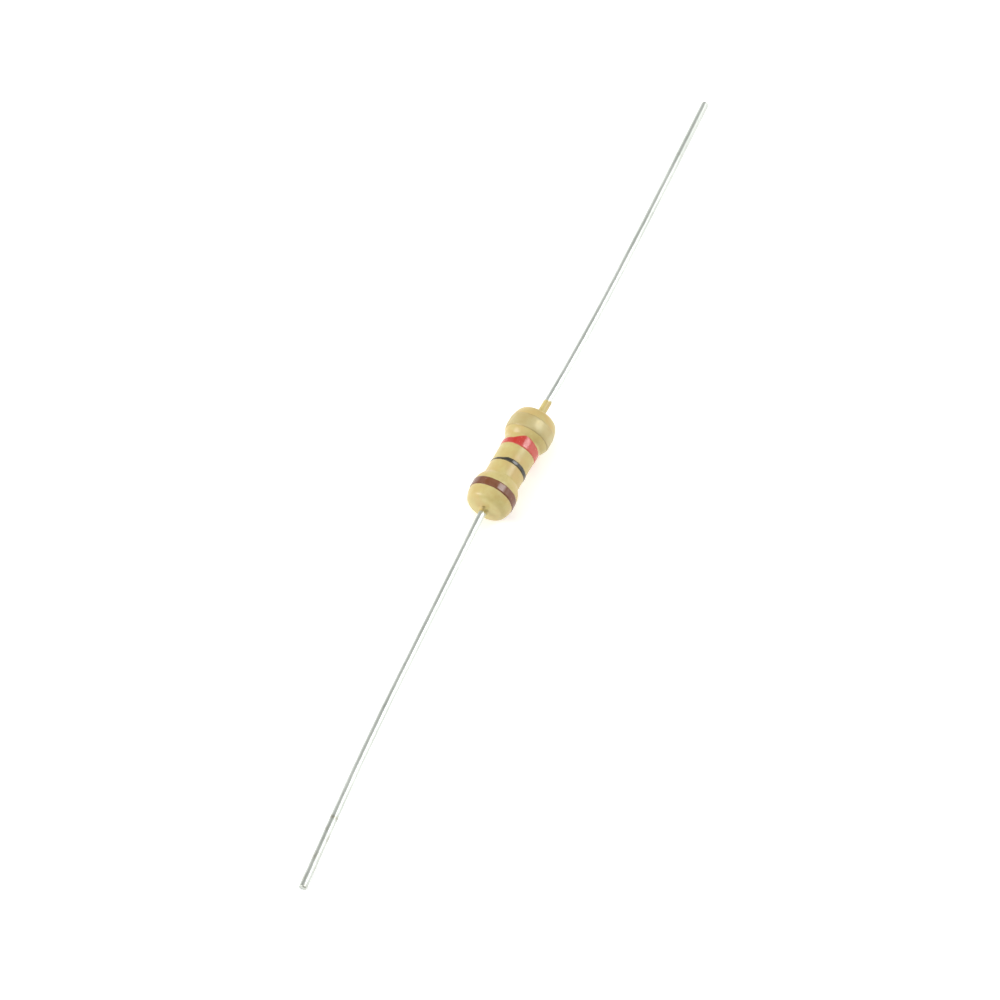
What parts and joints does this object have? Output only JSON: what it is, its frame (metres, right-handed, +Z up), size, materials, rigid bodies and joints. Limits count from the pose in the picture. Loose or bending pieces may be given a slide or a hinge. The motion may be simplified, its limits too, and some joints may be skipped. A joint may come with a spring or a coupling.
{
  "type": "axial resistor",
  "caption": "Axial carbon film resistor: tan dog-bone body with brown, black, red and gold bands, and long, slightly bent tinned leads.",
  "frame": {"origin": "on the surface that the resistor lies on, straight under the middle of its body, which is also the middle of its length", "axes": "+X along the body's axis from the brown band towards the gold band, +Z up, away from the surface"},
  "size_m": [0.0666, 0.004, 0.0033],
  "materials": {
    "core_ceramic": "matte",
    "carbon_film": "satin",
    "cap_steel": "satin",
    "tinned_wire": "gloss",
    "tan_lacquer": "gloss",
    "brown_paint": "gloss",
    "black_paint": "gloss",
    "red_paint": "gloss",
    "gold_paint": "satin"
  },
  "bodies": {
    "root": {"ceramic_core": "core_ceramic", "carbon_film": "carbon_film", "end_cap_brown_end": "cap_steel", "end_cap_gold_end": "cap_steel", "lead_brown_end": "tinned_wire", "lead_gold_end": "tinned_wire", "lacquer_coating": "tan_lacquer", "band_brown": "brown_paint", "band_black": "black_paint", "band_red": "red_paint", "band_gold": "gold_paint"}
  },
  "joints": []
}
